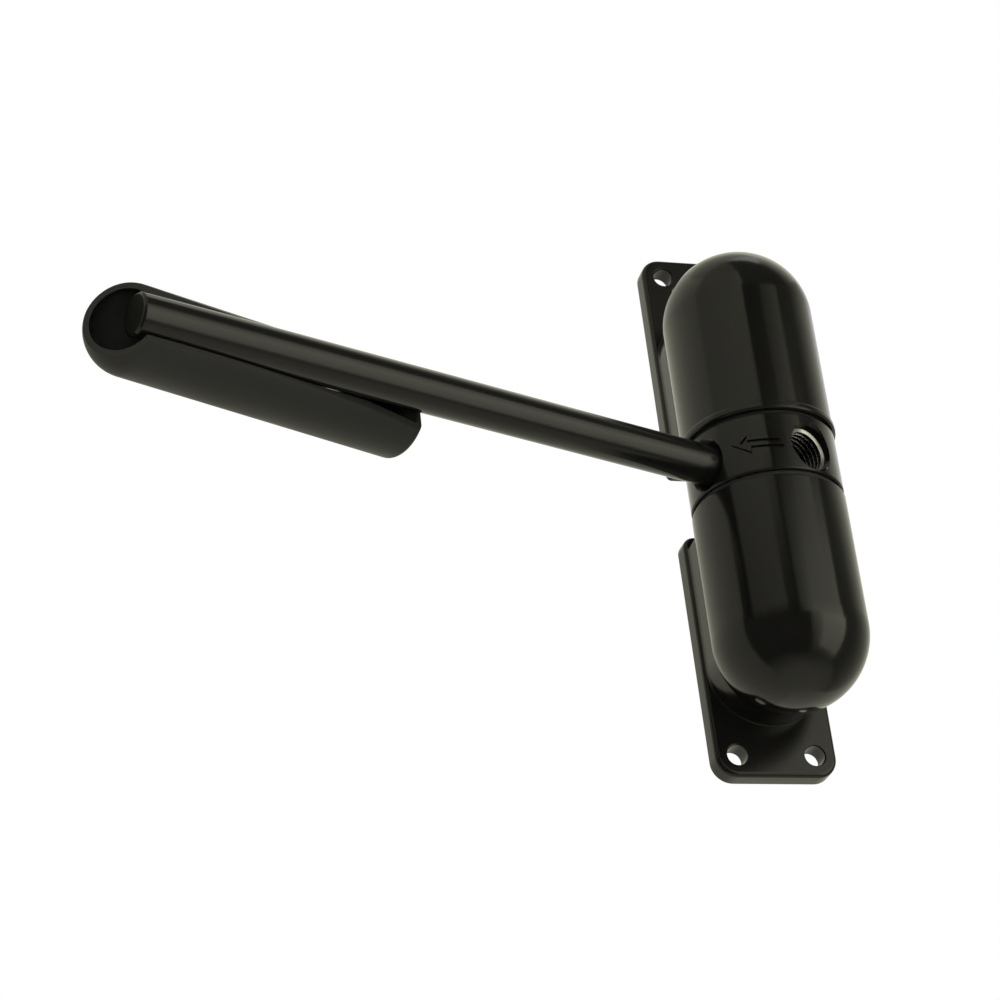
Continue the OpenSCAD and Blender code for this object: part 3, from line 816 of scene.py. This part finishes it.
def board(name, start, end, low, high, foot, head=None):
    """A curved glowing board that only glossy rays see; foot and head are its tones of painted light at start
    and end.
    """
    head = head or foot
    bm = bmesh.new()
    tone = bm.verts.layers.float_color.new("tone")
    heights = [math.radians(angle) for angle in (low, high)]
    edge = [bm.verts.new((board_away * math.cos(a), 0, board_away * math.sin(a))) for a in heights]
    bmesh.ops.spin(bm, geom=[*edge, bm.edges.new(edge)], cent=(0, 0, 0), axis=(0, 0, 1),
                   angle=math.radians(end - start), steps=max(1, round((end - start) / board_step)),
                   use_merge=False, use_duplicate=False)
    halfway = board_away * math.sin(sum(heights) / 2)
    for v in bm.verts:
        part = (math.degrees(math.atan2(v.co.y, v.co.x)) % 360) / (end - start)
        ends = head if v.co.z > halfway else foot
        shade = ends[0] + (ends[1] - ends[0]) * part
        v[tone] = (*(share * shade for share in board_tint), 1)
    place = at(0, -axis_out, 0) @ Matrix.Rotation(math.radians(start), 4, "Z")
    bmesh.ops.transform(bm, matrix=place, verts=bm.verts)
    mesh = bpy.data.meshes.new(name)
    bm.to_mesh(mesh)
    bm.free()
    mesh.materials.append(board_glow)
    flat = bpy.data.objects.new(name, mesh)
    bpy.context.scene.collection.objects.link(flat)
    for ray in ("camera", "diffuse", "transmission", "volume_scatter", "shadow"):
        setattr(flat, "visible_" + ray, False)


# The boards glow, though they are no lamps: each tone is painted light or shade, seen only in the gloss.
board_glow = bpy.data.materials.new("glowing_board")
board_glow.use_nodes = True
board_glow.node_tree.nodes.clear()
painted = node(board_glow.node_tree, "ShaderNodeAttribute", {"attribute_name": "tone"})
glow = node(board_glow.node_tree, "ShaderNodeEmission", Color=painted.outputs["Color"])
node(board_glow.node_tree, "ShaderNodeOutputMaterial", Surface=glow.outputs[0])

# Name, compass angles, heights in degrees, painted tones along the foot, painted tones along the head.
board("left_wall", 86, 182, -70, 27, (0.52, 0.40), (0.58, 0.42))
board("left_edge", 182, 191, -48, 27, (0.05, 0.05))
board("front_foot", 191, 280, -48, 8, (0.06, 0.04))
board("front_under", 182, 280, -70, -48, (0.36, 0.46), (0.10, 0.05))
board("front_wall", 191, 250, 8, 27, (0.05, 0.06), (0.22, 0.38))
board("front_gap", 250, 267, 8, 27, (0.02, 0.02))
board("lamp_edge", 267, 288, 8, 27, (0.10, 1.1), (0.30, 0.85))
board("lamp_low_edge", 280, 296, -38, 8, (0.05, 0.5), (0.5, 1.1))
board("lamp_wall", 288, 331, 8, 27, (1.1, 1.25), (0.85, 0.82))
board("lamp_low", 296, 334, -38, 8, (1.1, 0.95), (1.35, 1.5))
board("lamp_foot", 280, 334, -48, -38, (0.08, 0.2), (0.3, 0.5))
board("lamp_under", 280, 334, -70, -48, (0.46, 0.5), (0.08, 0.26))
board("side_wall", 334, 356, -46, 27, (0.16, 0.16), (0.11, 0.13))
board("side_gap", 331, 334, 8, 27, (0.12, 0.12))
board("side_under", 334, 398, -70, -46, (0.5, 0.5), (0.30, 0.35))
board("side_end", 356, 398, -46, 27, (0.16, 0.24), (0.16, 0.7))
board("back_wall", 38, 86, -70, 27, (0.5, 0.6), (0.7, 0.8))
board("floor_board", 0, 360, -90, -70, (0.5, 0.5), (0.47, 0.47))
board("left_high", 86, 188, 27, 62, (0.78, 0.50), (0.72, 0.6))
board("front_high", 188, 262, 27, 62, (0.38, 0.55), (0.38, 0.42))
board("front_high_gap", 262, 289, 27, 36, (0.03, 0.05))
board("lamp_high", 289, 317, 27, 36, (0.2, 0.7), (0.15, 0.3))
board("side_high", 317, 343, 27, 36, (0.08, 0.1), (0.08, 0.1))
board("side_high_end", 343, 392, 27, 42, (0.12, 1.0), (0.12, 0.4))
board("right_high", 264, 345, 36, 90, (0.10, 0.07))
board("back_high", 345, 406, 42, 66, (0.12, 1.1))
board("back_high_left", 46, 86, 42, 66, (1.0, 0.72))
board("top_left", 30, 186, 62, 90, (0.6, 0.45), (0.5, 0.4))
board("top_front", 186, 264, 62, 90, (0.36, 0.32), (0.3, 0.25))

# %% [markdown]
# ## Lamps
# Three soft lamps light the dull surfaces. They don't show in the gloss either.

# %% Lamps
def softbox(name, place, toward, size, power):
    """A rectangular lamp in watts, turned toward a point."""
    light = bpy.data.lights.new(name, "AREA")
    light.shape = "RECTANGLE"
    light.size, light.size_y = size
    light.energy = power
    lamp = bpy.data.objects.new(name, light)
    bpy.context.scene.collection.objects.link(lamp)
    lamp.location = place
    lamp.rotation_euler = (Vector(toward) - Vector(place)).to_track_quat("-Z", "Y").to_euler()
    lamp.visible_glossy = False


middle = (-0.05, -0.03, 0)
softbox("key", (-0.9, -0.9, 0.7), middle, (0.5, 0.7), 2.5)
softbox("fill", (0.9, -0.8, 0.2), middle, (0.4, 0.8), 2)
softbox("front", (-0.4, -0.9, -0.5), middle, (0.4, 0.4), 8)

bpy.context.scene.view_settings.view_transform = "Standard"
